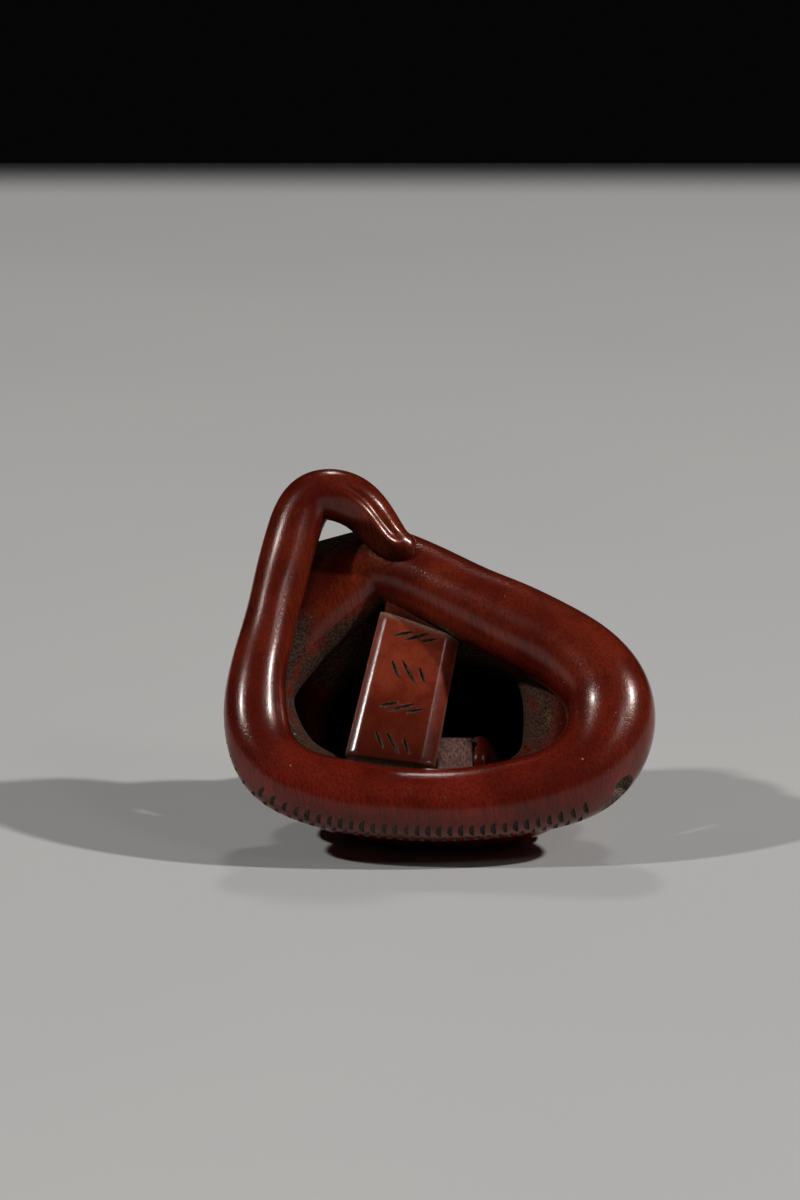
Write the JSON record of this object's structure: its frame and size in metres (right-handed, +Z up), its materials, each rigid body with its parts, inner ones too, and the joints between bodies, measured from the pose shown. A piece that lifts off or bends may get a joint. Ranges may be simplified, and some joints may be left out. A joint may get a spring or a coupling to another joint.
{
  "type": "netsuke",
  "caption": "Netsuke carved as a coiled snake that leans back on its rear coils, with a tablet bridging the hollow so that a cord can pass behind it",
  "frame": {"origin": "bottom centre of the bounding box, on the surface that the netsuke stands on", "axes": "+Z is up, -Y is the side that the tablet faces, +X is to the right as seen from there"},
  "size_m": [0.0416, 0.0316, 0.0354],
  "materials": {
    "stained_boxwood": "polished reddish-brown stain, worn lighter along edges, dust in the recesses"
  },
  "bodies": {
    "root": {"coiled_snake": "stained_boxwood"}
  },
  "joints": []
}
